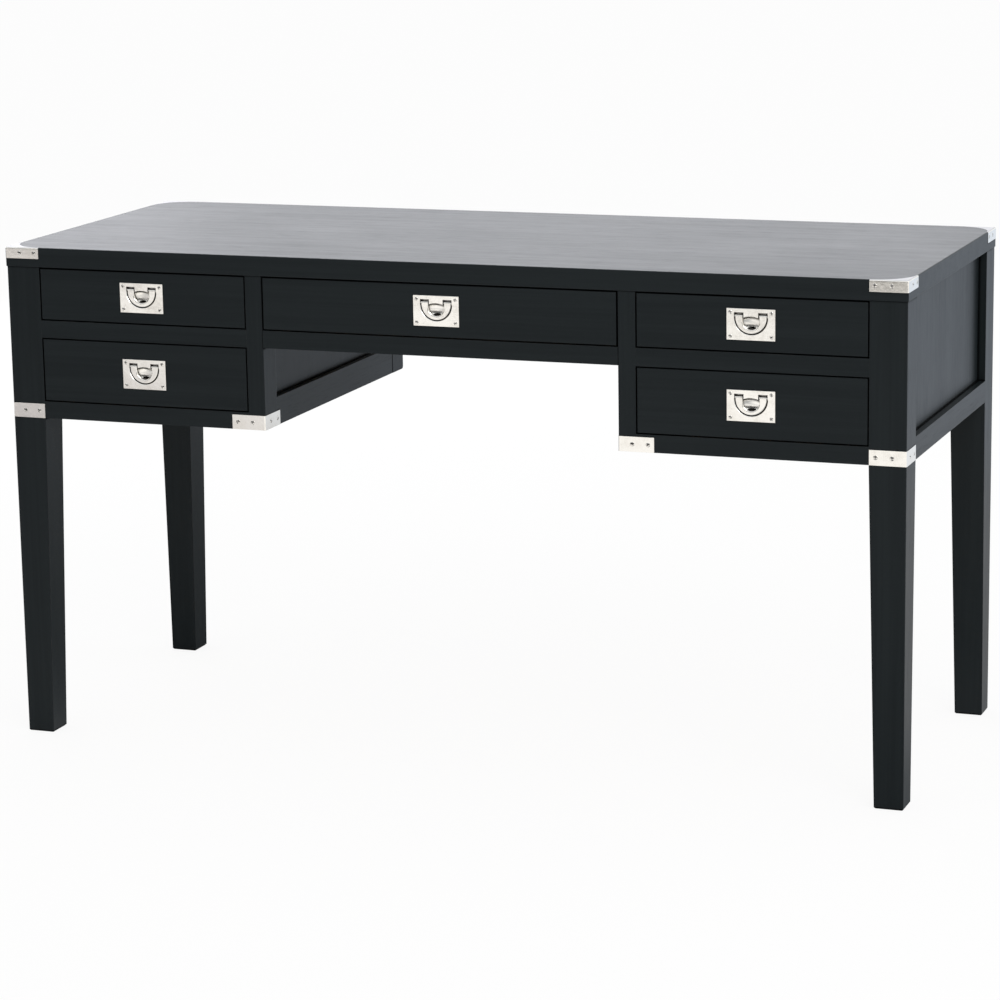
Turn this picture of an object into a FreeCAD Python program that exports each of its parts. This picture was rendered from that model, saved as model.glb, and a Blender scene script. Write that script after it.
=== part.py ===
import FreeCAD, Part
import os

# Campaign desk: a thick flat top on four tapered corner legs, a pedestal of two drawers at each end and
# one wide drawer over the knee space, with metal corner fittings and a flush bail pull on each drawer.
# Frame: +Z up, right end towards +X, back towards +Y, origin on the floor under the middle of the top.

# Driving sizes in millimetres. A name that ends in share is a fraction of the size that it follows.
SIZES = {
    # Top
    "desk_height": 762,
    "top_length": 1400,
    "top_depth": 560,
    "top_thickness": 30,
    "top_overhang": 1.2,
    "top_edge_round": 1.6,
    # Legs
    "post_width": 54,
    "foot_width": 43,
    "foot_chamfer": 2,
    "post_edge_round": 1.6,
    # Front frame
    "knee_width": 554,
    "stile_width": 26.5,
    "stile_depth": 44,
    "stile_foot_round": 5,
    "bottom_rail_height": 26,
    "drawer_rail_height": 26.5,
    "front_rail_depth": 30,
    "upper_opening_height": 81,
    "lower_opening_height": 98.5,
    "tenon_length_share": 0.4,
    "tenon_thickness_share": 0.35,
    "tenon_shoulder_share": 0.15,
    # Ends and back
    "end_rail_height": 33,
    "knee_rail_height": 43,
    "knee_rail_setback": 0.5,
    "back_rail_height": 40,
    "panel_thickness": 10,
    "panel_reveal": 12,
    "panel_tongue": 8,
    "groove_wall": 4,
    "back_reveal": 10,
    "apron_thickness": 18,
    # Drawers and what they run on
    "drawer_gap": 2,
    "drawer_edge_round": 0.8,
    "drawer_front_thickness": 20,
    "drawer_rear_gap": 45,
    "box_board_thickness": 12,
    "box_side_gap": 3,
    "box_top_gap": 12,
    "box_bottom_thickness": 6,
    "box_bottom_rise": 10,
    "box_groove_depth": 6,
    "running_clearance": 0.3,
    "guide_height": 14,
    "guide_clearance": 0.5,
    "stop_length": 30,
    "stop_height": 6,
    "stop_inset": 40,
    # Corner fittings
    "metal_thickness": 1.5,
    "metal_proud": 0.4,
    "cap_leg": 56,
    "cap_skirt": 17,
    "cap_rim": 2.5,
    "bracket_leg": 54,
    "bracket_height": 22,
    # Screws
    "fitting_screw_head_diameter": 6.6,
    "plate_screw_head_diameter": 5.2,
    "screw_head_height": 1.4,
    "screw_dome_height": 0.7,
    "screw_shank_diameter": 2.4,
    "screw_length": 13,
    "screw_slot_width": 0.9,
    "screw_slot_depth": 0.7,
    # Pulls
    "bail_width": 46,
    "bail_arm_width": 10.8,
    "bail_arm_length": 2.3,
    "bail_grip_height": 5.7,
    "bail_thickness": 3.2,
    "bail_edge_round": 1.4,
    "bail_gap": 1.5,
    "knuckle_gap": 3.4,
    "pin_diameter": 2.2,
    "pin_clearance": 0.05,
    "pin_length_share": 0.2,
    "plate_side_margin": 12.5,
    "plate_top_margin": 9,
    "plate_bottom_margin": 9.1,
    "plate_floor": 1.4,
    "plate_proud": 0.6,
    "plate_edge_round": 0.4,
    "plate_screw_inset_share": 0.43,
    "recess_clearance": 0.4,
    "rim_bevel_width": 0.7,
    "rim_bevel_depth": 0.7,
    "dish_width": 40,
    "dish_height": 24,
    "dish_depth": 8.2,
    "dish_drop": 0.4,
    "pit_width": 16.5,
    "pit_height": 9,
    "pit_depth": 14,
    "pit_drop": 19.7,
    "cup_wall": 1.5,
    # How far cutting solids run past the faces that they cut
    "overrun": 1,
}

# Places along the legs of a corner fitting, from its corner, where its screws sit
CAP_SCREW_SHARES = (0.43, 0.87)
BRACKET_SCREW_SHARES = (0.39, 0.83)

# Directions in which screw slots were left when the screws were driven, in degrees
SLOT_TURNS = (25, 70, 140, 100)

# Faces and levels of the case, worked out from the driving sizes
END_FACE = "(dims.top_length / 2 - dims.top_overhang)"
FRONT_FACE = "(-dims.top_depth / 2 + dims.top_overhang)"
BACK_FACE = "(dims.top_depth / 2 - dims.top_overhang)"
POST_INNER = f"({END_FACE} - dims.post_width)"
KNEE_FACE = "(dims.knee_width / 2)"
STILE_INNER = f"({KNEE_FACE} + dims.stile_width)"
FRONT_POST_BACK = f"({FRONT_FACE} + dims.post_width)"
BACK_POST_FRONT = f"({BACK_FACE} - dims.post_width)"
FRONT_STILE_BACK = f"({FRONT_FACE} + dims.stile_depth)"
FRONT_RAIL_BACK = f"({FRONT_FACE} + dims.front_rail_depth)"
BACK_FRAME = f"({BACK_FACE} - dims.back_reveal)"
BACK_STILE_FRONT = f"({BACK_FRAME} - dims.stile_depth)"
BACK_PANEL_OUTER = f"({BACK_FRAME} - dims.panel_reveal)"
RAIL_THICKNESS = "(dims.panel_reveal + dims.panel_thickness + dims.groove_wall)"

CASE_TOP = "(dims.desk_height - dims.top_thickness)"
UPPER_SILL = f"({CASE_TOP} - dims.upper_opening_height)"
LOWER_HEAD = f"({UPPER_SILL} - dims.drawer_rail_height)"
LOWER_SILL = f"({LOWER_HEAD} - dims.lower_opening_height)"
CASE_FLOOR = f"({LOWER_SILL} - dims.bottom_rail_height)"
END_RAIL_TOP = f"({CASE_FLOOR} + dims.end_rail_height)"
KNEE_RAIL_TOP = f"({CASE_FLOOR} + dims.knee_rail_height)"
BACK_RAIL_TOP = f"({CASE_FLOOR} + dims.back_rail_height)"

# Pull, measured from the middle of its plate, whose face lies at y = 0
KNUCKLE = "(dims.bail_thickness / 2)"
BAIL_RADIUS = "(dims.bail_width / 2)"
GRIP_RADIUS = f"({BAIL_RADIUS} - dims.bail_arm_width)"
BAIL_DROP = f"({KNUCKLE} + dims.bail_arm_length + {BAIL_RADIUS})"
PLATE_WIDTH = "(dims.bail_width + 2 * dims.plate_side_margin)"
PLATE_HEIGHT = f"(dims.plate_top_margin + {BAIL_DROP} + dims.plate_bottom_margin)"
PLATE_TOP = f"({PLATE_HEIGHT} / 2)"
PIVOT = f"({PLATE_TOP} - dims.plate_top_margin - {KNUCKLE})"
BAIL_CENTRE = f"({PIVOT} - dims.bail_arm_length)"
GRIP_CENTRE = f"({BAIL_CENTRE} - {BAIL_RADIUS} + dims.bail_grip_height + {GRIP_RADIUS})"
RECESS_RADIUS = f"({BAIL_RADIUS} + dims.bail_gap)"
RECESS_DEPTH = "(dims.bail_thickness + dims.recess_clearance)"
PIN_LENGTH = "(dims.bail_gap + dims.pin_length_share * dims.plate_side_margin)"
DISH_CENTRE = f"({PIVOT} - dims.dish_drop - dims.dish_height / 2)"
PIT_CENTRE = f"({PIVOT} - dims.pit_drop)"

SIDES = {"left": -1, "right": 1}

doc = FreeCAD.newDocument("campaign_desk")
nodes = []


def make_sheet():
    """Put the driving sizes into the document's sheet, one alias each."""
    sheet = doc.addObject("Spreadsheet::Sheet", "dims")
    for row, (name, value) in enumerate(SIZES.items(), start=1):
        sheet.set(f"A{row}", name)
        sheet.set(f"B{row}", str(value))
        sheet.setAlias(f"B{row}", name)
    doc.recompute()
    return sheet


def node(label, item):
    """Give a finished sub-part the name that it is written under."""
    item.Label = label
    nodes.append(item)
    return item


def bind(item, sizes):
    """Tie properties of an object to formulas of the sheet's sizes."""
    for prop, formula in sizes.items():
        item.setExpression(prop, formula)
    return item


def locate(item, x="0", y="0", z="0", rotation=None):
    """Turn an object about its own origin, then tie its place to three formulas."""
    if rotation is not None:
        item.Placement = FreeCAD.Placement(FreeCAD.Vector(), rotation)
    return bind(item, {"Placement.Base.x": x, "Placement.Base.y": y, "Placement.Base.z": z})


def turn(axis, degrees):
    """Rotation about one of the frame's axes."""
    axes = {"x": FreeCAD.Vector(1, 0, 0), "y": FreeCAD.Vector(0, 1, 0), "z": FreeCAD.Vector(0, 0, 1)}
    return FreeCAD.Rotation(axes[axis], degrees)


def board(name, x, y, z):
    """Square-edged board between a low and a high formula along each axis."""
    box = doc.addObject("Part::Box", name)
    bind(box, {
        "Length": f"{x[1]} - ({x[0]})",
        "Width": f"{y[1]} - ({y[0]})",
        "Height": f"{z[1]} - ({z[0]})",
    })
    return locate(box, x[0], y[0], z[0])


def group(name, items):
    """Several separate solids kept under one name."""
    compound = doc.addObject("Part::Compound", name)
    compound.Links = items
    return compound


def cut(name, base, tools):
    """A piece with the shapes of its neighbours let into it."""
    result = doc.addObject("Part::Cut", name)
    result.Base = base
    result.Tool = group(f"{name}_cutters", tools)
    return result


def fuse(name, items):
    """Several solids made into one piece."""
    result = doc.addObject("Part::MultiFuse", name)
    result.Shapes = items
    result.Refine = True
    return result


def copy_of(master, name, x="0", y="0", z="0", rotation=None):
    """The same piece again, in another place."""
    link = doc.addObject("App::Link", name)
    link.LinkedObject = master
    return locate(link, x, y, z, rotation)


def soften(name, base, radii, chosen):
    """Round the edges of a piece that a test on the edge chooses, by the sum of some named sizes."""
    doc.recompute()
    size = sum(sheet.get(radius) for radius in radii)
    result = doc.addObject("Part::Fillet", name)
    result.Base = base
    edges = enumerate(base.Shape.Edges, start=1)
    result.Edges = [(index, size, size) for index, edge in edges if chosen(edge)]
    return result


def at_outer_corner(edge):
    """True for the upright edge of a corner piece that lies on its own Z axis."""
    return max(edge.BoundBox.XMax, edge.BoundBox.YMax) < Part.Precision.confusion()


def mirrored(sign, low, high):
    """A range along X on the right half of the desk, or its mirror image on the left half."""
    return (low, high) if sign > 0 else (f"-({high})", f"-({low})")


def make_screw(use):
    """Screw along +Y with a domed, countersunk head whose rim is at y = 0: the blank, and one with a slot."""
    along_y = turn("x", -90)
    width = f"dims.{use}_screw_head_diameter"
    rise = "dims.screw_dome_height"
    head = doc.addObject("Part::Cone", f"{use}_screw_head")
    bind(head, {
        "Radius1": f"{width} / 2",
        "Radius2": "dims.screw_shank_diameter / 2",
        "Height": "dims.screw_head_height",
    })
    shank = doc.addObject("Part::Cylinder", f"{use}_screw_shank")
    bind(shank, {"Radius": "dims.screw_shank_diameter / 2", "Height": "dims.screw_length"})
    curve = f"(({width} / 2)^2 + {rise}^2) / (2 * {rise})"
    dome = doc.addObject("Part::Sphere", f"{use}_screw_dome")
    bind(dome, {"Radius": curve, "Angle1": f"asin(1 - {rise} / ({curve}))"})
    blank = fuse(f"{use}_screw_blank", [
        locate(head, rotation=along_y),
        locate(shank, rotation=along_y),
        locate(dome, y=f"{curve} - {rise}", rotation=turn("x", 90)),
    ])
    slot = board(
        f"{use}_screw_slot",
        (f"-{width}", width),
        (f"-({rise} + dims.overrun)", "dims.screw_slot_depth"),
        ("-dims.screw_slot_width / 2", "dims.screw_slot_width / 2"),
    )
    return blank, cut(f"{use}_screw", blank, [slot])


def screw_sets(name, masters, places):
    """Blanks and slotted screws at the same places, each a formula triple and a turn about Z."""
    blanks = []
    screws = []
    for index, (x, y, z, facing) in enumerate(places):
        driven = turn("z", facing).multiply(turn("y", SLOT_TURNS[index % len(SLOT_TURNS)]))
        blanks.append(copy_of(masters[0], f"{name}_blank_{index}", x, y, z, driven))
        screws.append(copy_of(masters[1], f"{name}_{index}", x, y, z, driven))
    return group(f"{name}_blanks", blanks), group(f"{name}_set", screws)


def fitting_screws(name, leg, height, shares):
    """Screws through both legs of a corner fitting whose outer corner is the origin."""
    places = []
    for share in shares:
        places.append((f"{share} * {leg}", "0", height, 0))
        places.append(("0", f"{share} * {leg}", height, -90))
    return screw_sets(name, fitting_screw, places)


def make_cap():
    """Cap for a corner of the top: two skirts and an upper plate with a hollow inner edge."""
    leg = "dims.cap_leg"

    def at_corner(edge):
        """True for the three edges that meet at the cap's outer corner."""
        return min(end.Point.Length for end in edge.Vertexes) < Part.Precision.confusion()

    square = board("cap_block", ("0", leg), ("0", leg), ("-dims.cap_skirt", "0"))
    block = soften("cap_rounded", square, ["top_edge_round", "metal_proud"], at_corner)
    inside = board(
        "cap_inside",
        ("dims.metal_thickness", f"{leg} + dims.overrun"),
        ("dims.metal_thickness", f"{leg} + dims.overrun"),
        ("-dims.cap_skirt - dims.overrun", "-dims.metal_thickness"),
    )
    hollow = doc.addObject("Part::Cylinder", "cap_hollow")
    bind(hollow, {"Radius": f"{leg} - dims.cap_rim", "Height": "dims.cap_skirt + 2 * dims.overrun"})
    locate(hollow, leg, leg, "-dims.cap_skirt - dims.overrun")
    shell = cut("cap_shell", block, [inside])
    blanks, screws = fitting_screws("cap_screw", leg, "-dims.cap_skirt / 2", CAP_SCREW_SHARES)
    return cut("cap", cut("cap_plate", shell, [hollow]), [blanks]), blanks, screws


def make_bracket():
    """Angle bracket for a lower front corner: two upright legs with their lower edges at z = 0."""
    leg = "dims.bracket_leg"
    square = board("bracket_block", ("0", leg), ("0", leg), ("0", "dims.bracket_height"))
    block = soften("bracket_rounded", square, ["post_edge_round", "metal_proud"], at_outer_corner)
    inside = board(
        "bracket_inside",
        ("dims.metal_thickness", f"{leg} + dims.overrun"),
        ("dims.metal_thickness", f"{leg} + dims.overrun"),
        ("-dims.overrun", "dims.bracket_height + dims.overrun"),
    )
    angle = cut("bracket_angle", block, [inside])
    blanks, screws = fitting_screws("bracket_screw", leg, "dims.bracket_height / 2", BRACKET_SCREW_SHARES)
    return cut("bracket", angle, [blanks]), blanks, screws


def tapered(name, z, low, high):
    """Upright block between two square sections, each from a near to a far formula along both X and Y."""
    block = doc.addObject("Part::Wedge", name)
    bind(block, {
        "Ymin": z[0],
        "Ymax": z[1],
        "Xmin": low[0],
        "Xmax": low[1],
        "Zmin": f"-({low[1]})",
        "Zmax": f"-({low[0]})",
        "X2min": high[0],
        "X2max": high[1],
        "Z2min": f"-({high[1]})",
        "Z2max": f"-({high[0]})",
    })
    return locate(block, rotation=turn("x", 90))


def make_leg():
    """Leg with its outer corner on the Z axis: a square post, tapered on its inner faces to the foot."""
    post_side = ("0", "dims.post_width")
    foot_side = ("0", "dims.foot_width")
    square = fuse("leg_square", [
        board("post", post_side, post_side, (CASE_FLOOR, CASE_TOP)),
        tapered("taper", ("0", CASE_FLOOR), foot_side, post_side),
    ])
    rounded = soften("leg_rounded", square, ["post_edge_round"], at_outer_corner)
    sole = ("dims.foot_chamfer", "dims.foot_width - dims.foot_chamfer")
    flared = (f"{sole[0]} - {CASE_TOP}", f"{sole[1]} + {CASE_TOP}")
    result = doc.addObject("Part::Common", "leg")
    result.Base = rounded
    result.Tool = tapered("foot_chamfers", ("0", CASE_TOP), sole, flared)
    return result


def half_disc(name, radius, start, depth, height):
    """Lower half of an upright disc, from one depth to a second behind it."""
    disc = doc.addObject("Part::Cylinder", name)
    disc.Angle = 180
    bind(disc, {"Radius": radius, "Height": f"{depth} - ({start})"})
    return locate(disc, y=start, z=height, rotation=turn("x", -90))


def rod(name, radius, x, y, z):
    """Round rod along X between two formulas."""
    cylinder = doc.addObject("Part::Cylinder", name)
    bind(cylinder, {"Radius": radius, "Height": f"{x[1]} - ({x[0]})"})
    return locate(cylinder, x[0], y, z, turn("y", 90))


def make_bail():
    """Flat U-shaped bail that hangs from two pins at its upper ends."""
    back = "dims.bail_thickness"
    wide = (f"-{BAIL_RADIUS}", BAIL_RADIUS)
    narrow = (f"-{GRIP_RADIUS}", GRIP_RADIUS)
    outer = fuse("bail_outer", [
        half_disc("bail_bow", BAIL_RADIUS, "0", back, BAIL_CENTRE),
        board("bail_arms", wide, ("0", back), (BAIL_CENTRE, PIVOT)),
    ])
    opening = fuse("bail_opening", [
        half_disc("grip_bow", GRIP_RADIUS, "-dims.overrun", f"{back} + dims.overrun", GRIP_CENTRE),
        board("grip_gap", narrow, ("-dims.overrun", f"{back} + dims.overrun"),
              (GRIP_CENTRE, f"{PIVOT} + dims.overrun")),
    ])
    loop = cut("bail_loop", outer, [opening])
    doc.recompute()
    top = loop.Shape.BoundBox.ZMax

    def on_front(edge):
        """True for the outline of the face that shows, without the arms' upper ends."""
        box = edge.BoundBox
        return abs(box.YMax) < Part.Precision.confusion() and box.ZMin < top - Part.Precision.confusion()

    pieces = [soften("bail_rounded", loop, ["bail_edge_round"], on_front)]
    for side, sign in SIDES.items():
        arm = mirrored(sign, GRIP_RADIUS, BAIL_RADIUS)
        pin = mirrored(sign, f"({BAIL_RADIUS} - dims.bail_arm_width / 2)", f"({BAIL_RADIUS} + {PIN_LENGTH})")
        pieces.append(rod(f"knuckle_{side}", KNUCKLE, arm, KNUCKLE, PIVOT))
        pieces.append(rod(f"pin_{side}", "dims.pin_diameter / 2", pin, KNUCKLE, PIVOT))
    return fuse("bail", pieces)


def hollow(name, kind, height):
    """Oval hollow of the plate, as wide, high and deep as its kind of hollow is."""
    oval = doc.addObject("Part::Ellipsoid", name)
    bind(oval, {
        "Radius1": f"dims.{kind}_height / 2",
        "Radius2": f"dims.{kind}_width / 2",
        "Radius3": f"dims.{kind}_depth",
    })
    return locate(oval, z=height)


def make_plate():
    """Cast plate with the bail's recess, its pin bores and the finger dish: the blank and the plate."""
    wide = (f"-{PLATE_WIDTH} / 2", f"{PLATE_WIDTH} / 2")
    cup_half = "(dims.dish_width / 2 + dims.cup_wall)"
    cup_rise = "(dims.dish_height / 2 + dims.cup_wall)"
    blank = fuse("plate_blank", [
        board("plate_sheet", wide, ("0", f"{RECESS_DEPTH} + dims.plate_floor"),
              (f"-{PLATE_TOP}", PLATE_TOP)),
        board("plate_cup", (f"-{cup_half}", cup_half), ("0", "dims.pit_depth + dims.cup_wall"),
              (f"{DISH_CENTRE} - {cup_rise}", f"{DISH_CENTRE} + {cup_rise}")),
    ])
    eased = soften("plate_eased", blank, ["plate_edge_round"],
                   lambda edge: edge.BoundBox.YMax < Part.Precision.confusion())
    recess_top = f"{PIVOT} + {KNUCKLE} + dims.knuckle_gap"
    recess = fuse("bail_recess", [
        half_disc("recess_bow", RECESS_RADIUS, "-dims.overrun", RECESS_DEPTH, BAIL_CENTRE),
        board("recess_arms", (f"-{RECESS_RADIUS}", RECESS_RADIUS), ("-dims.overrun", RECESS_DEPTH),
              (BAIL_CENTRE, recess_top)),
    ])
    tongue_half = f"({GRIP_RADIUS} - dims.bail_gap)"
    tongue = board("tongue", (f"-{tongue_half}", tongue_half), ("-2 * dims.overrun", RECESS_DEPTH),
                   (DISH_CENTRE, f"{recess_top} + dims.overrun"))
    bevel = doc.addObject("Part::Cone", "rim_bevel")
    bevel.Angle = 180
    bind(bevel, {
        "Radius1": f"{RECESS_RADIUS} + dims.rim_bevel_width",
        "Radius2": RECESS_RADIUS,
        "Height": "dims.rim_bevel_depth",
    })
    locate(bevel, z=BAIL_CENTRE, rotation=turn("x", -90))
    dish = hollow("finger_dish", "dish", DISH_CENTRE)
    pit = hollow("finger_pit", "pit", PIT_CENTRE)
    bore_end = f"({BAIL_RADIUS} + {PIN_LENGTH} + dims.recess_clearance)"
    bores = []
    for side, sign in SIDES.items():
        reach = mirrored(sign, BAIL_RADIUS, bore_end)
        bores.append(rod(f"bore_{side}", "dims.pin_diameter / 2 + dims.pin_clearance", reach, KNUCKLE, PIVOT))
    inset = "dims.plate_screw_inset_share * dims.plate_side_margin"
    places = []
    for across in SIDES.values():
        for up in SIDES.values():
            x = f"{across} * ({PLATE_WIDTH} / 2 - {inset})"
            places.append((x, "0", f"{up} * ({PLATE_TOP} - {inset})", 0))
    screw_blanks, screws = screw_sets("plate_screws", plate_screw, places)
    cast = cut("plate_cast", eased, [cut("bail_seat", recess, [tongue])])
    cast = cut("plate_bevelled", cast, [bevel])
    cast = cut("plate_dished", cast, [dish])
    cast = cut("plate_pitted", cast, [pit])
    return blank, cut("plate", cast, bores + [screw_blanks]), screw_blanks, screws


def tenoned(name, x, y, z, axis):
    """Rail along X or Y with a centred tenon on each end, as a blank before its neighbours are let in."""
    rail = board(f"{name}_shoulders", x, y, z)
    reach = "dims.tenon_length_share * dims.stile_width"

    def inset(pair, share):
        """A range drawn in at both ends by a share of its length."""
        step = f"{share} * ({pair[1]} - ({pair[0]}))"
        return f"{pair[0]} + {step}", f"{pair[1]} - {step}"

    def longer(pair):
        """A range drawn out at both ends by the tenon's length."""
        return f"{pair[0]} - {reach}", f"{pair[1]} + {reach}"

    cheek = "(1 - dims.tenon_thickness_share) / 2"
    level = inset(z, "dims.tenon_shoulder_share")
    if axis == "x":
        tongue = board(f"{name}_tenons", longer(x), inset(y, cheek), level)
    else:
        tongue = board(f"{name}_tenons", inset(x, cheek), longer(y), level)
    return fuse(f"{name}_blank", [rail, tongue])


def make_panels(side, sign):
    """Thin panels of one pedestal: outer end, knee side and back."""
    tongue = "dims.panel_tongue"
    inward = f"{END_FACE} - dims.panel_reveal"
    outer = board(
        f"outer_panel_{side}",
        mirrored(sign, f"{inward} - dims.panel_thickness", inward),
        (f"{FRONT_POST_BACK} - {tongue}", f"{BACK_POST_FRONT} + {tongue}"),
        (f"{END_RAIL_TOP} - {tongue}", CASE_TOP),
    )
    knee = f"{KNEE_FACE} + dims.panel_reveal"
    inner = board(
        f"inner_panel_{side}",
        mirrored(sign, knee, f"{knee} + dims.panel_thickness"),
        (f"{FRONT_STILE_BACK} - {tongue}", f"{BACK_STILE_FRONT} + {tongue}"),
        (f"{KNEE_RAIL_TOP} - {tongue}", CASE_TOP),
    )
    back = board(
        f"back_panel_{side}",
        mirrored(sign, f"{STILE_INNER} - {tongue}", f"{POST_INNER} + {tongue}"),
        (f"{BACK_PANEL_OUTER} - dims.panel_thickness", BACK_PANEL_OUTER),
        (f"{BACK_RAIL_TOP} - {tongue}", CASE_TOP),
    )
    return {
        "outer": node(f"outer_side_panel_{side}", outer),
        "inner": node(f"inner_side_panel_{side}", inner),
        "back": node(f"back_panel_{side}", back),
    }


def make_pedestal_rails(side, sign, panels, fittings):
    """Rails of one pedestal: two in front, one at each side and one at the back."""
    across = mirrored(sign, STILE_INNER, POST_INNER)
    front = (FRONT_FACE, FRONT_RAIL_BACK)
    bottom = tenoned(f"bottom_rail_{side}", across, front, (CASE_FLOOR, LOWER_SILL), "x")
    middle = tenoned(f"drawer_rail_{side}", across, front, (LOWER_HEAD, UPPER_SILL), "x")
    outer = tenoned(
        f"outer_rail_{side}",
        mirrored(sign, f"{END_FACE} - {RAIL_THICKNESS}", END_FACE),
        (FRONT_POST_BACK, BACK_POST_FRONT),
        (CASE_FLOOR, END_RAIL_TOP),
        "y",
    )
    inner = tenoned(
        f"inner_rail_{side}",
        mirrored(sign, f"({KNEE_FACE} + dims.knee_rail_setback)", STILE_INNER),
        (FRONT_STILE_BACK, BACK_STILE_FRONT),
        (CASE_FLOOR, KNEE_RAIL_TOP),
        "y",
    )
    back = tenoned(
        f"back_rail_{side}",
        across,
        (f"{BACK_FRAME} - {RAIL_THICKNESS}", BACK_FRAME),
        (CASE_FLOOR, BACK_RAIL_TOP),
        "x",
    )
    bottom = cut(f"bottom_rail_{side}", bottom, fittings)
    outer = cut(f"outer_rail_{side}", outer, [panels["outer"]] + fittings)
    inner = cut(f"inner_rail_{side}", inner, [panels["inner"]] + fittings)
    back = cut(f"back_rail_{side}", back, [panels["back"]])
    return {
        "bottom": node(f"lower_front_rail_{side}", bottom),
        "middle": node(f"drawer_rail_{side}", middle),
        "outer": node(f"outer_side_rail_{side}", outer),
        "inner": node(f"inner_side_rail_{side}", inner),
        "back": node(f"back_rail_{side}", back),
    }


def make_centre():
    """Rail under the wide drawer and the board that closes the back behind it."""
    across = (f"-{KNEE_FACE}", KNEE_FACE)
    rail = tenoned("centre_rail", across, (FRONT_FACE, FRONT_RAIL_BACK), (LOWER_HEAD, UPPER_SILL), "x")
    apron = board(
        "apron",
        (f"-{KNEE_FACE} - dims.panel_tongue", f"{KNEE_FACE} + dims.panel_tongue"),
        (f"{BACK_PANEL_OUTER} - dims.apron_thickness", BACK_PANEL_OUTER),
        (LOWER_HEAD, CASE_TOP),
    )
    return node("centre_rail", rail), node("back_apron", apron)


def make_stiles(side, sign, panels, rails, centre_rail, apron, fittings):
    """Front and back stiles at the knee side of one pedestal."""
    across = mirrored(sign, KNEE_FACE, STILE_INNER)
    rise = (CASE_FLOOR, CASE_TOP)
    front = board(f"front_stile_{side}_square", across, (FRONT_FACE, FRONT_STILE_BACK), rise)
    back = board(f"back_stile_{side}_square", across, (BACK_STILE_FRONT, BACK_FRAME), rise)
    doc.recompute()
    front_box = front.Shape.BoundBox
    back_box = back.Shape.BoundBox
    near = Part.Precision.confusion()

    def knee_corner(edge):
        """True for the front edge beside the knee space."""
        middle = edge.BoundBox.Center
        knee = front_box.XMin if sign > 0 else front_box.XMax
        return abs(middle.x - knee) < near and abs(middle.y - front_box.YMin) < near

    def lower_back(edge):
        """True for the edge where the stile's foot meets its back face."""
        middle = edge.BoundBox.Center
        return abs(middle.y - back_box.YMax) < near and abs(middle.z - back_box.ZMin) < near

    front = soften(f"front_stile_{side}_blank", front, ["post_edge_round"], knee_corner)
    back = soften(f"back_stile_{side}_blank", back, ["stile_foot_round"], lower_back)
    let_in_front = [panels["inner"], rails["bottom"], rails["middle"], rails["inner"], centre_rail]
    let_in_back = [panels["inner"], panels["back"], rails["inner"], rails["back"], apron]
    node(f"front_stile_{side}", cut(f"front_stile_{side}", front, let_in_front + fittings))
    node(f"back_stile_{side}", cut(f"back_stile_{side}", back, let_in_back))


def make_legs(side, panels, rails, fittings):
    """Front and back corner legs at one end."""
    x, front_turn, back_turn = (f"-{END_FACE}", 0, 270) if side == "left" else (END_FACE, 90, 180)
    front = copy_of(leg, f"front_leg_{side}_blank", x, FRONT_FACE, rotation=turn("z", front_turn))
    back = copy_of(leg, f"back_leg_{side}_blank", x, BACK_FACE, rotation=turn("z", back_turn))
    let_in_front = [panels["outer"], rails["outer"], rails["bottom"], rails["middle"]]
    let_in_back = [panels["outer"], panels["back"], rails["outer"], rails["back"]]
    node(f"front_leg_{side}", cut(f"front_leg_{side}", front, let_in_front + fittings))
    node(f"back_leg_{side}", cut(f"back_leg_{side}", back, let_in_back))


def make_top():
    """Top with its edges eased, its four corner caps and their screws."""
    slab = board(
        "top_slab",
        ("-dims.top_length / 2", "dims.top_length / 2"),
        ("-dims.top_depth / 2", "dims.top_depth / 2"),
        (CASE_TOP, "dims.desk_height"),
    )
    eased = soften("top_eased", slab, ["top_edge_round"], lambda edge: True)
    x = "(dims.top_length / 2 + dims.metal_proud)"
    y = "(dims.top_depth / 2 + dims.metal_proud)"
    corners = ((f"-{x}", f"-{y}", 0), (x, f"-{y}", 90), (x, y, 180), (f"-{x}", y, 270))
    caps, blanks, screws = [], [], []
    for index, (corner_x, corner_y, degrees) in enumerate(corners):
        at = (corner_x, corner_y, "dims.desk_height", turn("z", degrees))
        caps.append(copy_of(cap, f"cap_{index}", *at))
        blanks.append(copy_of(cap_screw_blanks, f"cap_blanks_{index}", *at))
        screws.append(copy_of(cap_screws, f"cap_screws_{index}", *at))
    node("desk_top", cut("desk_top", eased, caps + blanks))
    node("top_corner_caps", group("corner_caps", caps))
    return screws


def make_brackets():
    """Angle brackets at the lower front corners of both pedestals: pieces, screw blanks and screws."""
    y = f"{FRONT_FACE} - dims.metal_proud"
    outer = f"({END_FACE} + dims.metal_proud)"
    knee = f"({KNEE_FACE} - dims.metal_proud)"
    corners = ((f"-{outer}", 0), (f"-{knee}", 90), (knee, 0), (outer, 90))
    pieces, blanks, screws = [], [], []
    for index, (x, degrees) in enumerate(corners):
        at = (x, y, CASE_FLOOR, turn("z", degrees))
        pieces.append(copy_of(bracket, f"bracket_{index}", *at))
        blanks.append(copy_of(bracket_screw_blanks, f"bracket_blanks_{index}", *at))
        screws.append(copy_of(bracket_screws, f"bracket_screws_{index}", *at))
    node("lower_corner_brackets", group("corner_brackets", pieces))
    return pieces, blanks, screws


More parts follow.
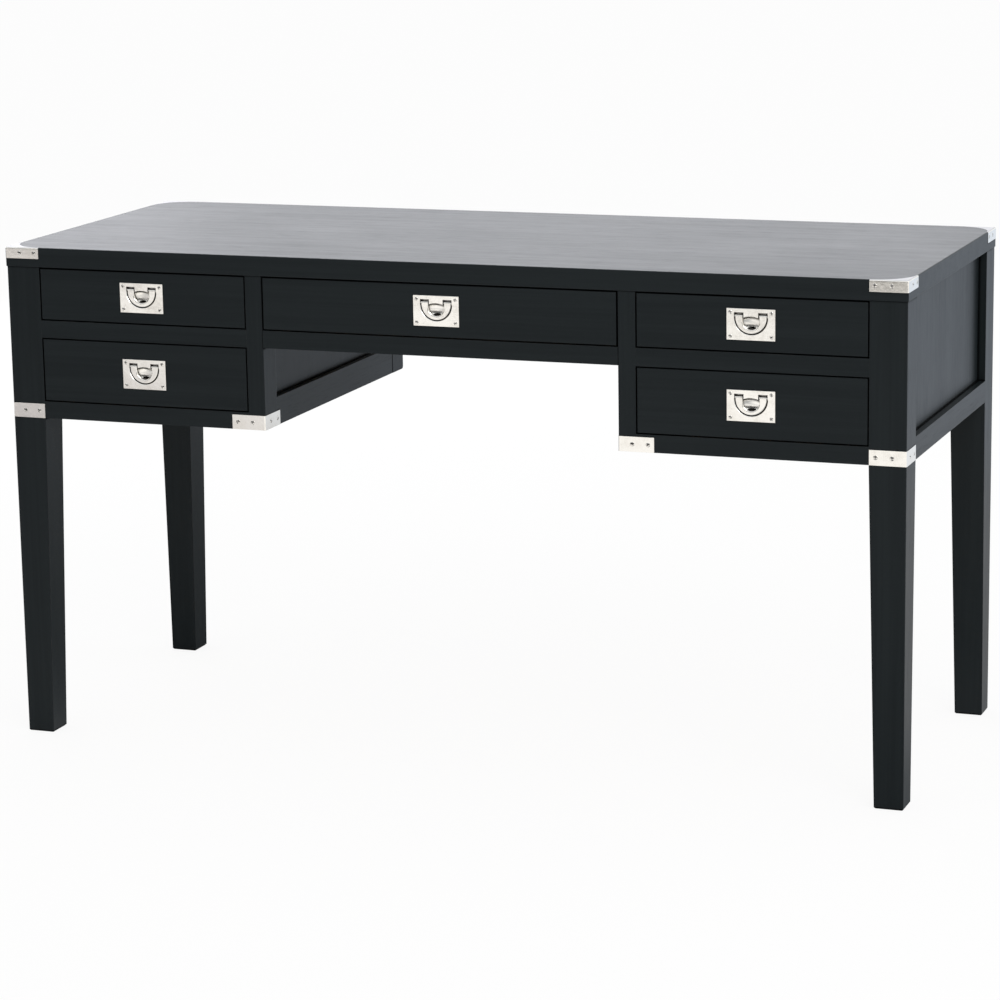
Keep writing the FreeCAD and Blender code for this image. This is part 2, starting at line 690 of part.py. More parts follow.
def runner_pair(name, sign, wall, edge, y, sill, foot):
    """Strip that a drawer's side rides on, and the guide beside it, between a wall and an opening's edge.

    The edge is the opening's side; the drawer lies beyond it, away from the wall, for sign +1 towards +X.
    """
    ledge_end = f"{edge} + {sign} * (dims.box_side_gap + dims.box_board_thickness)"
    guide_end = f"{edge} + {sign} * (dims.box_side_gap - dims.guide_clearance)"

    def span(end):
        """Range from the wall to an end, low first."""
        return (wall, end) if sign > 0 else (end, wall)

    ledge = board(f"{name}_ledge", span(ledge_end), y, (foot, sill))
    guide = board(f"{name}_guide", span(guide_end), y, (sill, f"{sill} + dims.guide_height"))
    return [ledge, guide]


def make_runners():
    """Runners and guides of all drawers, fixed to the side rails and panels."""
    post_to_post = (FRONT_POST_BACK, BACK_POST_FRONT)
    stile_to_stile = (FRONT_STILE_BACK, BACK_STILE_FRONT)
    outer_panel = f"({END_FACE} - dims.panel_reveal - dims.panel_thickness)"
    outer_rail = f"({END_FACE} - {RAIL_THICKNESS})"
    inner_panel = f"({KNEE_FACE} + dims.panel_reveal + dims.panel_thickness)"
    knee_panel = f"({KNEE_FACE} + dims.panel_reveal)"
    centre = []
    for side, sign in SIDES.items():
        strips = []
        walls = (
            ("upper", outer_panel, inner_panel, UPPER_SILL, LOWER_HEAD),
            ("lower", outer_rail, STILE_INNER, LOWER_SILL, CASE_FLOOR),
        )
        for level, outer_wall, inner_wall, sill, foot in walls:
            strips += runner_pair(f"{level}_outer_{side}", -sign, f"{sign} * {outer_wall}",
                                  f"{sign} * {POST_INNER}", post_to_post, sill, foot)
            strips += runner_pair(f"{level}_inner_{side}", sign, f"{sign} * {inner_wall}",
                                  f"{sign} * {STILE_INNER}", stile_to_stile, sill, foot)
        node(f"drawer_runners_{side}", group(f"runners_{side}", strips))
        centre += runner_pair(f"centre_{side}", -sign, f"{sign} * {knee_panel}",
                              f"{sign} * {KNEE_FACE}", stile_to_stile, UPPER_SILL, LOWER_HEAD)
    node("centre_drawer_runners", group("runners_centre", centre))


def make_stops(openings):
    """Blocks on the front rails that stop each closed drawer flush with the frame."""
    behind_front = f"{FRONT_FACE} + dims.drawer_front_thickness + dims.running_clearance"
    blocks = []
    for name, (x, sill, head) in openings.items():
        near = f"{x[0]} + dims.stop_inset"
        far = f"{x[1]} - dims.stop_inset"
        spans = {"a": (near, f"{near} + dims.stop_length"), "b": (f"{far} - dims.stop_length", far)}
        for end, span in spans.items():
            blocks.append(board(f"stop_{name}_{end}", span, (behind_front, FRONT_RAIL_BACK),
                                (sill, f"{sill} + dims.stop_height")))
    node("drawer_stops", group("stops", blocks))


def make_drawer(name, x, sill, head):
    """One drawer: front, box boards and its pull."""
    front_back = f"({FRONT_FACE} + dims.drawer_front_thickness)"
    rear = f"({BACK_PANEL_OUTER} - dims.apron_thickness - dims.drawer_rear_gap)"
    box_foot = f"({sill} + dims.running_clearance)"
    box_top = f"({head} - dims.box_top_gap)"
    box_low = f"({x[0]} + dims.box_side_gap)"
    box_high = f"({x[1]} - dims.box_side_gap)"
    thick = "dims.box_board_thickness"
    groove = "dims.box_groove_depth"
    floor_low = f"({box_foot} + dims.box_bottom_rise)"
    floor_high = f"({floor_low} + dims.box_bottom_thickness)"
    length = (f"{front_back} - {groove}", rear)

    floor = board(
        f"box_floor_{name}",
        (f"{box_low} + {thick} - {groove}", f"{box_high} - {thick} + {groove}"),
        length, (floor_low, floor_high),
    )
    sides = [
        cut(f"box_{end}_{name}", board(f"box_{end}_{name}_blank", span, length, (box_foot, box_top)), [floor])
        for end, span in (
            ("low", (box_low, f"{box_low} + {thick}")),
            ("high", (f"{box_high} - {thick}", box_high)),
        )
    ]
    back = board(
        f"box_back_{name}",
        (f"{box_low} + {thick}", f"{box_high} - {thick}"),
        (f"{rear} - {thick}", rear), (floor_high, box_top),
    )
    node(f"drawer_box_{name}", group(f"box_{name}", sides + [back, floor]))

    pull_at = (
        f"({x[0]} + ({x[1]})) / 2",
        f"{FRONT_FACE} - dims.plate_proud",
        f"({sill} + {head}) / 2",
    )
    blank = board(
        f"front_{name}_blank",
        (f"{x[0]} + dims.drawer_gap", f"{x[1]} - dims.drawer_gap"),
        (FRONT_FACE, front_back),
        (f"{sill} + dims.drawer_gap", f"{head} - dims.drawer_gap"),
    )
    doc.recompute()
    face = blank.Shape.BoundBox.YMin + Part.Precision.confusion()
    eased = soften(f"front_{name}_eased", blank, ["drawer_edge_round"],
                   lambda edge: edge.BoundBox.YMax < face)
    seat = copy_of(plate_blank, f"pull_seat_{name}", *pull_at)
    holes = copy_of(plate_screw_blanks, f"pull_holes_{name}", *pull_at)
    node(f"drawer_front_{name}", cut(f"front_{name}", eased, [seat, holes, floor] + sides))
    node(f"handle_plate_{name}", copy_of(plate, f"plate_{name}", *pull_at))
    node(f"handle_bail_{name}", copy_of(bail, f"bail_{name}", *pull_at))
    node(f"handle_screws_{name}", copy_of(plate_screws, f"plate_screws_{name}", *pull_at))


def drawer_openings():
    """Opening of each drawer: its range along X and its sill and head levels."""
    openings = {"centre": ((f"-{KNEE_FACE}", KNEE_FACE), UPPER_SILL, CASE_TOP)}
    for side, sign in SIDES.items():
        across = mirrored(sign, STILE_INNER, POST_INNER)
        openings[f"upper_{side}"] = (across, UPPER_SILL, CASE_TOP)
        openings[f"lower_{side}"] = (across, LOWER_SILL, LOWER_HEAD)
    return openings


def check():
    """Stop if any object failed or any sub-part is empty or not valid."""
    doc.recompute()
    for item in doc.Objects:
        if "Invalid" in item.State or "Error" in item.State:
            raise RuntimeError(f"{item.Label} failed: {item.State}")
    for item in nodes:
        shape = Part.getShape(item)
        if shape.isNull() or not shape.isValid() or not shape.Solids:
            raise RuntimeError(f"{item.Label} has no valid solid")


def write():
    """Write each sub-part under its own name."""
    os.makedirs("parts", exist_ok=True)
    for item in nodes:
        shape = Part.getShape(item)
        shape.exportStep(f"parts/{item.Label}.step")
        print(item.Label, len(shape.Solids), round(shape.Volume))


sheet = make_sheet()
fitting_screw = make_screw("fitting")
plate_screw = make_screw("plate")
cap, cap_screw_blanks, cap_screws = make_cap()
bracket, bracket_screw_blanks, bracket_screws = make_bracket()
leg = make_leg()
bail = make_bail()
plate_blank, plate, plate_screw_blanks, plate_screws = make_plate()

corner_screws = make_top()
brackets, bracket_holes, lower_screws = make_brackets()
node("corner_screws", group("fitting_screws", corner_screws + lower_screws))
centre_rail, back_apron = make_centre()
for end, direction in SIDES.items():
    end_panels = make_panels(end, direction)
    end_rails = make_pedestal_rails(end, direction, end_panels, brackets + bracket_holes)
    make_stiles(end, direction, end_panels, end_rails, centre_rail, back_apron, brackets + bracket_holes)
    make_legs(end, end_panels, end_rails, brackets + bracket_holes)
make_runners()
drawers = drawer_openings()
make_stops(drawers)
for drawer, (opening, low_edge, high_edge) in drawers.items():
    make_drawer(drawer, opening, low_edge, high_edge)
check()
write()
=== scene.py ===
"""Campaign desk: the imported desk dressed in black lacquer, bright nickel and bare hardwood."""

import logging
import math
from dataclasses import dataclass
from enum import Enum
from typing import Any

import bmesh
import bpy
from mathutils import Matrix, Vector

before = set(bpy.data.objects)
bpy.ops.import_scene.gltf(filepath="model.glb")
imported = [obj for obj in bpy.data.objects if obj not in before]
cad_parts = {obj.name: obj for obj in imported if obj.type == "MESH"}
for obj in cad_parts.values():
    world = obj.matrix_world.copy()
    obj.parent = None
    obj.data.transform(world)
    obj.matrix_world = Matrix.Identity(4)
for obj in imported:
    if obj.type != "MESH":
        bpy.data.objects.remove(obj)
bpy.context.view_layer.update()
DRAWERS = ("upper_left", "lower_left", "centre", "upper_right", "lower_right")

Colour = tuple[float, float, float]
Triple = tuple[float, float, float]
Pair = tuple[float, float]

log = logging.getLogger("campaign_desk")


class Grain(Enum):
    """Direction of the wood's fibres in a piece."""

    LENGTH = 0
    DEPTH = 1
    UPRIGHT = 2

    def waves(self, pattern: Pair) -> Triple:
        """Waves per metre on X, Y and Z for a pattern given along and across the fibres."""
        along, across = pattern
        return tuple(along if axis == self.value else across for axis in range(3))


class Side(Enum):
    """End of the desk, as someone sitting at it sees it."""

    LEFT = "left"
    RIGHT = "right"


class Wire:
    """One output socket of a finish. Sums and products on it add Math nodes."""

    def __init__(self, board: "Board", socket: bpy.types.NodeSocket) -> None:
        """Hold the socket and the board that it is on."""
        self.board = board
        self.socket = socket

    def _math(self, operation: str, first: "Wire | float", second: "Wire | float") -> "Wire":
        """Add one Math node and return its result."""
        return self.board.wire("ShaderNodeMath", {"operation": operation}, {0: first, 1: second})

    def __add__(self, other: "Wire | float") -> "Wire":
        """Sum of two values."""
        return self._math("ADD", self, other)

    def __radd__(self, other: float) -> "Wire":
        """Sum with a number on the left."""
        return self._math("ADD", other, self)

    def __sub__(self, other: "Wire | float") -> "Wire":
        """Difference of two values."""
        return self._math("SUBTRACT", self, other)

    def __rsub__(self, other: float) -> "Wire":
        """Difference from a number on the left."""
        return self._math("SUBTRACT", other, self)

    def __mul__(self, other: "Wire | float") -> "Wire":
        """Product of two values."""
        return self._math("MULTIPLY", self, other)

    def __rmul__(self, other: float) -> "Wire":
        """Product with a number on the left."""
        return self._math("MULTIPLY", other, self)

    def rise(self, low: float, high: float) -> "Wire":
        """Share of the way from low to high, eased at both ends."""
        return self.board.wire(
            "ShaderNodeMapRange", {"interpolation_type": "SMOOTHSTEP"}, {0: self, 1: low, 2: high}
        )

    def folded(self, width: float) -> "Wire":
        """Value that runs up and down between zero and width, as rings do across a board."""
        return self._math("PINGPONG", self, width)


class Board:
    """Node tree of one finish, emptied, with one way to add nodes to it."""

    BEVEL_SAMPLES = 6
    OPENNESS_SAMPLES = 8
    EDGE_RANGE: Pair = (0.0, 0.25)
    # Places of the Mix node's colour sockets, after those for numbers and vectors.
    MIX_FIRST = 6
    MIX_SECOND = 7
    MIX_RESULT = 2

    def __init__(self, tree: bpy.types.NodeTree) -> None:
        """Empty the tree."""
        self.tree = tree
        self.tree.nodes.clear()

    def node(
        self,
        kind: str,
        settings: dict[str, Any] | None = None,
        sockets: dict[str | int, Any] | None = None,
    ) -> bpy.types.Node:
        """Add a node.

        Args:
            kind: The node's type.
            settings: Its settings, set before its sockets.
            sockets: Values or wires for its inputs, by name or place.

        Returns:
            The new node.
        """
        made = self.tree.nodes.new(kind)
        for key, value in (settings or {}).items():
            setattr(made, key, value)
        for key, value in (sockets or {}).items():
            self._feed(made.inputs[key], value)
        return made

    def wire(
        self,
        kind: str,
        settings: dict[str, Any] | None = None,
        sockets: dict[str | int, Any] | None = None,
        output: str | int = 0,
    ) -> Wire:
        """Add a node and take one of its outputs.

        Args:
            kind: The node's type.
            settings: Its settings, set before its sockets.
            sockets: Values or wires for its inputs, by name or place.
            output: The output wanted, by name or place.

        Returns:
            That output.
        """
        return Wire(self, self.node(kind, settings, sockets).outputs[output])

    def _feed(self, socket: bpy.types.NodeSocket, value: Any) -> None:
        """Link a wire to an input, or set the input's own value.

        Args:
            socket: The input.
            value: A wire, a number, or a colour or vector of three numbers.
        """
        if isinstance(value, Wire):
            self.tree.links.new(value.socket, socket)
        elif socket.type == "RGBA":
            socket.default_value = (*value, 1.0)
        else:
            socket.default_value = value

    def mix(self, share: Wire, first: Wire | Colour, second: Wire | Colour) -> Wire:
        """Colour that goes from the first to the second as share goes from zero to one."""
        sockets = {0: share, self.MIX_FIRST: first, self.MIX_SECOND: second}
        return self.wire("ShaderNodeMix", {"data_type": "RGBA"}, sockets, self.MIX_RESULT)

    def place(self, spread: float) -> Wire:
        """Place on the piece in metres, shifted for each piece so that no two share their figure.

        Args:
            spread: How far apart, in metres, the figures of two pieces can lie.

        Returns:
            The shifted place.
        """
        here = self.wire("ShaderNodeTexCoord", output="Object")
        draw = self.wire("ShaderNodeObjectInfo", output="Random")
        return self.wire("ShaderNodeVectorMath", {"operation": "ADD"}, {0: here, 1: draw * spread})

    def noise(self, place: Wire, waves: Triple, detail: float) -> Wire:
        """Soft random figure between zero and one.

        Args:
            place: Where on the piece.
            waves: Waves per metre on X, Y and Z.
            detail: How many finer layers it has.

        Returns:
            The figure.
        """
        scaled = self.wire("ShaderNodeVectorMath", {"operation": "MULTIPLY"}, {0: place, 1: waves})
        return self.wire("ShaderNodeTexNoise", None, {"Vector": scaled, "Scale": 1.0, "Detail": detail})

    def edges(self, radius: float) -> tuple[Wire, Wire]:
        """Softened edges.

        Args:
            radius: Their rounding in metres.

        Returns:
            The softened normal, and a mask that is one where the edge is rounded.
        """
        soft = self.wire("ShaderNodeBevel", {"samples": self.BEVEL_SAMPLES}, {"Radius": radius})
        face = self.wire("ShaderNodeNewGeometry", output="Normal")
        same = self.wire("ShaderNodeVectorMath", {"operation": "DOT_PRODUCT"}, {0: soft, 1: face}, "Value")
        return soft, (1.0 - same).rise(*self.EDGE_RANGE)

    def openness(self, reach: float) -> Wire:
        """Share of the sky over a point that nothing covers within reach, in metres."""
        settings = {"samples": self.OPENNESS_SAMPLES}
        return self.wire("ShaderNodeAmbientOcclusion", settings, {"Distance": reach}, "AO")

    def bump(self, height: Wire, depth: float, normal: Wire) -> Wire:
        """Normal of a surface with fine relief.

        Args:
            height: The relief, between zero and one.
            depth: Its depth in metres.
            normal: The normal under it.

        Returns:
            The normal with the relief.
        """
        return self.wire(
            "ShaderNodeBump", None,
            {"Strength": 1.0, "Distance": depth, "Height": height, "Normal": normal},
        )

    def shader(self, sockets: dict[str, Any]) -> Wire:
        """One surface shader with the given sockets."""
        return self.wire("ShaderNodeBsdfPrincipled", None, sockets)

    def end(self, surface: Wire) -> None:
        """Close the board with the surface that it shows."""
        self.node("ShaderNodeOutputMaterial", None, {"Surface": surface})


def new_material(name: str) -> tuple[bpy.types.Material, Board]:
    """Make a material.

    Args:
        name: Its name.

    Returns:
        The material and its empty board.
    """
    material = bpy.data.materials.new(name)
    material.use_nodes = True
    return material, Board(material.node_tree)


@dataclass(frozen=True)
class Lacquer:
    """Satin black paint on wood, through which the grain still shows, with painted shade in its tight
    corners and a lighter line along its edges that is partly wear and partly a painted highlight.
    """

    name: str
    grain: Grain
    ground: Colour = (0.0084, 0.0116, 0.0130)
    streak: Colour = (0.0112, 0.0150, 0.0165)
    # Lighter colour along the edges: partly rubbed wear, partly a painted highlight.
    rubbed_and_highlit: Colour = (0.075, 0.074, 0.071)
    # Colour of the painted shade in tight corners and under overhangs.
    corner: Colour = (0.0015, 0.0018, 0.0018)
    roughness: float = 0.36
    roughness_swing: float = 0.035
    sheen_swing: float = 0.04
    pore_dulling: float = 0.08
    specular: float = 0.165
    broad_grain: Pair = (1.4, 48.0)
    fine_grain: Pair = (5.0, 260.0)
    pores: Pair = (28.0, 900.0)
    sheen: Triple = (7.0, 7.0, 7.0)
    wear_and_highlight_patches: Triple = (60.0, 60.0, 60.0)
    broad_share: float = 0.55
    fine_share: float = 0.45
    figure_range: Pair = (0.36, 0.66)
    figure_middle: float = 0.5
    pore_range: Pair = (0.58, 0.72)
    # Patches along the edges where that lighter colour shows, and how much of it shows.
    wear_and_highlight_range: Pair = (0.45, 0.7)
    wear_and_highlight_share: float = 0.7
    fine_relief: float = 0.6
    broad_relief: float = 0.3
    pore_relief: float = 0.5
    grain_depth: float = 0.000012
    # Painted shade in corners: how far it looks for cover, how fast it darkens, how much of it, and its
    # dull finish.
    corner_shade_reach: float = 0.004
    corner_shade_range: Pair = (0.02, 0.22)
    corner_shade_share: float = 0.9
    corner_shade_roughness: float = 0.9
    corner_shade_specular: float = 0.05
    edge_round: float = 0.0009
    spread: float = 9.0

    def make(self) -> bpy.types.Material:
        """Build the paint's material.

        Returns:
            The material, with the grain in its own direction and painted shade, a dead black, in tight
            corners.
        """
        material, board = new_material(self.name)
        place = board.place(self.spread)
        broad = board.noise(place, self.grain.waves(self.broad_grain), detail=2.0)
        fine = board.noise(place, self.grain.waves(self.fine_grain), detail=3.0)
        pores = board.noise(place, self.grain.waves(self.pores), detail=1.0).rise(*self.pore_range)
        sheen = board.noise(place, self.sheen, detail=2.0)
        normal, edge = board.edges(self.edge_round)
        # Edges lightened in patches: partly wear, partly a painted highlight.
        worn_and_highlit = edge * board.noise(place, self.wear_and_highlight_patches, detail=3.0).rise(*self.wear_and_highlight_range)
        figure = (broad * self.broad_share + fine * self.fine_share).rise(*self.figure_range)
        paint = board.mix(figure, self.ground, self.streak)
        rough = (
            self.roughness
            + (figure - self.figure_middle) * self.roughness_swing
            + (sheen - self.figure_middle) * self.sheen_swing
        )
        relief = fine * self.fine_relief + broad * self.broad_relief - pores * self.pore_relief
        # Painted shade: where the paint is covered close by, it is mixed into a dull near-black surface.
        covered = 1.0 - board.openness(self.corner_shade_reach)
        corner = covered.rise(*self.corner_shade_range) * self.corner_shade_share
        satin = board.shader({
            "Base Color": board.mix(worn_and_highlit * self.wear_and_highlight_share, paint, self.rubbed_and_highlit),
            "Roughness": rough + pores * self.pore_dulling,
            "Specular IOR Level": self.specular,
            "Normal": board.bump(relief, self.grain_depth, normal),
        })
        shade_surface = board.shader({
            "Base Color": self.corner,
            "Roughness": self.corner_shade_roughness,
            "Specular IOR Level": self.corner_shade_specular,
        })
        board.end(board.wire("ShaderNodeMixShader", None, {0: corner, 1: satin, 2: shade_surface}))
        return material


@dataclass(frozen=True)
class Nickel:
    """Bright plated metal with a hand-worn polish, with painted shade on faces that look up, and tarnished
    and darkened by painted shade in its gaps and hollows.
    """

    name: str
    bright: Colour = (0.99, 0.955, 0.89)
    dull: Colour = (0.94, 0.895, 0.82)
    # Colour of the painted shade on faces that look up.
    grime_and_upper_shade: Colour = (0.60, 0.585, 0.59)
    # Near-black colour in gaps and in the pit behind the bail: partly tarnish, partly painted shade.
    tarnish_and_gap_shade: Colour = (0.030, 0.026, 0.022)
    roughness: float = 0.11
    roughness_swing: float = 0.07
    upper_dulling: float = 0.35
    scratch_dulling: float = 0.06
    shelter_dulling: float = 0.3
    mottle: Triple = (230.0, 230.0, 230.0)
    cloud: Triple = (38.0, 38.0, 38.0)
    scratch: Triple = (60.0, 700.0, 2400.0)
    waves: Triple = (70.0, 70.0, 70.0)
    mottle_share: float = 0.25
    cloud_share: float = 0.75
    patina_range: Pair = (0.42, 0.70)
    scratch_range: Pair = (0.56, 0.72)
    upper_range: Pair = (0.6, 0.95)
    mottle_relief: float = 0.12
    scratch_relief: float = 0.012
    wave_depth: float = 0.00008
    # Reach and range of the painted shade in gaps and in the pit behind the bail.
    gap_reach: float = 0.005
    gap_range: Pair = (0.16, 0.52)
    hollow_reach: float = 0.014
    pit_range: Pair = (0.64, 0.86)
    edge_round: float = 0.0003
    spread: float = 3.0

    def make(self) -> bpy.types.Material:
        """Build the metal's material.

        Returns:
            The material, rougher and darkened by painted shade on faces that look up, and tarnished and
            darkened by painted shade in its gaps and hollows.
        """
        material, board = new_material(self.name)
        place = board.place(self.spread)
        mottle = board.noise(place, self.mottle, detail=4.0)
        cloud = board.noise(place, self.cloud, detail=3.0)
        scratch = board.noise(place, self.scratch, detail=2.0).rise(*self.scratch_range)
        waves = board.noise(place, self.waves, detail=2.0)
        normal, edge = board.edges(self.edge_round)
        # Painted shade in gaps and in the pit behind the bail, partly tarnish; the hollows are also
        # rougher.
        gap_shade = (1.0 - board.openness(self.gap_reach)).rise(*self.gap_range)
        shelter = 1.0 - board.openness(self.hollow_reach)
        pit_shade = shelter.rise(*self.pit_range)
        hollow_shade = gap_shade + pit_shade * (1.0 - gap_shade)
        figure = mottle * self.mottle_share + cloud * self.cloud_share
        patina = figure.rise(*self.patina_range) * (1.0 - edge)
        # Painted shade: faces that look up are mixed towards a darker colour, and they are also rougher.
        face = board.wire("ShaderNodeNewGeometry", output="True Normal")
        upward = board.wire("ShaderNodeSeparateXYZ", None, {"Vector": face}, "Z")
        upper = upward.rise(*self.upper_range)
        metal = board.mix(upper, board.mix(patina, self.bright, self.dull), self.grime_and_upper_shade)
        polish = self.roughness + patina * self.roughness_swing + upper * self.upper_dulling
        relief = waves + mottle * self.mottle_relief - scratch * self.scratch_relief
        board.end(board.shader({
            "Base Color": board.mix(hollow_shade, metal, self.tarnish_and_gap_shade),
            "Metallic": 1.0,
            "Roughness": polish + scratch * self.scratch_dulling + shelter * self.shelter_dulling,
            "Normal": board.bump(relief, self.wave_depth, normal),
        }))
        return material


@dataclass(frozen=True)
class Hardwood:
    """Bare pale wood of the drawer boxes and runners, sanded and a little handled."""

    name: str
    pale: Colour = (0.56, 0.41, 0.25)
    deep: Colour = (0.40, 0.26, 0.135)
    # Grime from handling, on the wood's edges and in patches.
    grime_and_upper_shade: Colour = (0.24, 0.165, 0.10)
    roughness: float = 0.52
    fibre_dulling: float = 0.2
    specular: float = 0.35
    front_range: Pair = (0.4, 0.6)
    ring_grain: Pair = (1.1, 16.0)
    fibre_grain: Pair = (14.0, 520.0)
    rings: float = 7.0
    ring_fold: float = 0.5
    band_share: float = 0.6
    fibre_share: float = 0.4
    figure_range: Pair = (0.15, 0.85)
    soil: Triple = (9.0, 9.0, 9.0)
    soil_range: Pair = (0.5, 0.75)
    soil_share: float = 0.25
    edge_soil: float = 0.25
    band_relief: float = 0.3
    depth: float = 0.00008
    edge_round: float = 0.0008
    spread: float = 5.0

    def make(self) -> bpy.types.Material:
        """Build the wood's material.

        Returns:
            The material, with fibres along the board that a face belongs to.
        """
        material, board = new_material(self.name)
        place = board.place(self.spread)
        face = board.wire("ShaderNodeNewGeometry", output="True Normal")
        backward = board.wire("ShaderNodeSeparateXYZ", None, {"Vector": face}, "Y")
        faces_front = (backward * backward).rise(*self.front_range)
        rings = self._crossing(board, place, self.ring_grain, faces_front, detail=1.0)
        fibre = self._crossing(board, place, self.fibre_grain, faces_front, detail=3.0)
        bands = (rings * self.rings).folded(self.ring_fold) * (1.0 / self.ring_fold)
        normal, edge = board.edges(self.edge_round)
        figure = bands * self.band_share + fibre * self.fibre_share
        wood = board.mix(figure.rise(*self.figure_range), self.pale, self.deep)
        patches = board.noise(place, self.soil, detail=3.0).rise(*self.soil_range)
        soil = patches * self.soil_share + edge * self.edge_soil
        board.end(board.shader({
            "Base Color": board.mix(soil, wood, self.grime_and_upper_shade),
            "Roughness": self.roughness + fibre * self.fibre_dulling,
            "Specular IOR Level": self.specular,
            "Normal": board.bump(fibre + bands * self.band_relief, self.depth, normal),
        }))
        return material

    def _crossing(
        self, board: Board, place: Wire, pattern: Pair, faces_front: Wire, detail: float
    ) -> Wire:
        """Figure that runs along the depth, or along the length on faces that look to the front.

        Args:
            board: The finish's board.
            place: Where on the piece.
            pattern: Waves per metre along and across the fibres.
            faces_front: One on faces that look to the front or back.
            detail: How many finer layers the figure has.

        Returns:
            The figure.
        """
        deep = board.noise(place, Grain.DEPTH.waves(pattern), detail)
        wide = board.noise(place, Grain.LENGTH.waves(pattern), detail)
        return wide * faces_front + deep * (1.0 - faces_front)


class Finishes:
    """Every finish of the desk, made once."""

    def __init__(self) -> None:
        """Make the finishes."""
        self.lacquer = {grain: Lacquer(f"lacquer_{grain.name.lower()}", grain).make() for grain in Grain}
        self.nickel = Nickel("nickel").make()
        self.screw_steel = Nickel("screw_steel", bright=(0.88, 0.84, 0.78), dull=(0.70, 0.66, 0.60)).make()
        self.hardwood = Hardwood("hardwood").make()


def coat(node: str, material: bpy.types.Material) -> None:
    """Give every material slot of a solid one finish and report it.

    Args:
        node: Name of the solid.
        material: Its finish.
    """
    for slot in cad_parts[node].material_slots:
        slot.material = material
    log.info("%s: %s", node, material.name)


@dataclass
class DeskTop:
    """The slab, and the board and rail that span the knee space."""

    spans: tuple[str, ...] = ("desk_top", "centre_rail", "back_apron")

    def dress(self, finishes: Finishes) -> None:
        """Paint the slab and the spans with their grain along the desk."""
        for node in self.spans:
            coat(node, finishes.lacquer[Grain.LENGTH])


@dataclass
class Pedestal:
    """Frame and panels of one end of the desk."""

    side: Side
    uprights: tuple[str, ...] = ("front_leg", "back_leg", "front_stile", "back_stile")
    cross_rails: tuple[str, ...] = ("lower_front_rail", "drawer_rail", "back_rail")
    depth_rails: tuple[str, ...] = ("outer_side_rail", "inner_side_rail")
    panels: tuple[str, ...] = ("outer_side_panel", "inner_side_panel", "back_panel")

    def dress(self, finishes: Finishes) -> None:
        """Paint each member with the grain along it.

        Args:
            finishes: The desk's finishes.
        """
        for members, grain in (
            (self.uprights, Grain.UPRIGHT),
            (self.cross_rails, Grain.LENGTH),
            (self.depth_rails, Grain.DEPTH),
            (self.panels, Grain.UPRIGHT),
        ):
            for member in members:
                coat(f"{member}_{self.side.value}", finishes.lacquer[grain])


@dataclass
class CornerFittings:
    """Metal on the corners of the slab and under the pedestals."""

    fittings: tuple[str, ...] = ("top_corner_caps", "lower_corner_brackets")
    screws: str = "corner_screws"

    def dress(self, finishes: Finishes) -> None:
        """Plate the fittings and give the screws their own metal.

        Args:
            finishes: The desk's finishes.
        """
        for node in self.fittings:
            coat(node, finishes.nickel)
        coat(self.screws, finishes.screw_steel)


@dataclass
class RunningGear:
    """What the drawers run on and stop against."""

    bearers: tuple[str, ...] = (
        "drawer_runners_left", "drawer_runners_right", "centre_drawer_runners", "drawer_stops",
    )

    def dress(self, finishes: Finishes) -> None:
        """Leave the runners and stops as bare wood."""
        for node in self.bearers:
            coat(node, finishes.hardwood)


@dataclass
class Drawer:
    """One drawer with its box, its front and its flush pull."""

    name: str
    pull: tuple[str, ...] = ("handle_plate", "handle_bail")
    screws: str = "handle_screws"

    def dress(self, finishes: Finishes) -> None:
        """Paint the front, plate the pull and leave the box bare.

        Args:
            finishes: The desk's finishes.
        """
        coat(f"drawer_front_{self.name}", finishes.lacquer[Grain.LENGTH])
        coat(f"drawer_box_{self.name}", finishes.hardwood)
        for part in self.pull:
            coat(f"{part}_{self.name}", finishes.nickel)
        coat(f"{self.screws}_{self.name}", finishes.screw_steel)


@dataclass
class Lamp:
    """One large soft lamp, which lights and is mirrored but isn't seen itself."""

    name: str
    place: Triple
    aim: Triple
    size: Pair
    level: float
    tint: Colour = (1.0, 1.0, 1.0)

    def build(self) -> None:
        """Hang the lamp and turn it to what it lights."""
        light = bpy.data.lights.new(self.name, "AREA")
        light.shape = "RECTANGLE"
        light.size, light.size_y = self.size
        light.color = self.tint
        light.energy = self.level * math.pi * self.size[0] * self.size[1]
        hung = bpy.data.objects.new(self.name, light)
        bpy.context.scene.collection.objects.link(hung)
        hung.location = self.place
        towards = Vector(self.aim) - Vector(self.place)
        hung.rotation_euler = towards.to_track_quat("-Z", "Y").to_euler()
        hung.visible_camera = False


@dataclass
class Flag:
    """Dark cloth out of the picture, which gives the metal its dark edges."""

    name: str
    start: Pair
    end: Pair
    height: Pair
    colour: Colour = (0.03, 0.03, 0.03)

    def build(self) -> None:
        """Hang the cloth upright between its two ends."""
        low, high = self.height
        mesh = bpy.data.meshes.new(self.name)
        cloth = bmesh.new()
        corners = ((*self.start, low), (*self.end, low), (*self.end, high), (*self.start, high))
        cloth.faces.new([cloth.verts.new(corner) for corner in corners])
        cloth.to_mesh(mesh)
        cloth.free()
        hung = bpy.data.objects.new(self.name, mesh)
        bpy.context.scene.collection.objects.link(hung)
        material, board = new_material(self.name)
        board.end(board.wire("ShaderNodeBsdfDiffuse", None, {"Color": self.colour}))
        mesh.materials.append(material)
        hung.visible_camera = False


@dataclass(frozen=True)
class PaintedPatch:
    """Round patch painted on the paper, seen only in what mirrors it, with a soft rim between two radii:
    painted shade where it is darker than the paper and painted light where it is lighter.
    """

    place: Triple
    fade: Pair
    colour: Colour

    def lay(self, board: Board, place: Wire, paper: Wire) -> Wire:
        """Lay the patch on the paper.

        Args:
            board: The paper's board.
            place: Where on the paper.
            paper: Colour of the paper under it.

        Returns:
            The patch's colour, fading into the paper's around it.
        """
        away = board.wire(
            "ShaderNodeVectorMath", {"operation": "DISTANCE"}, {0: place, 1: self.place}, "Value"
        )
        return board.mix(away.rise(*self.fade), self.colour, paper)


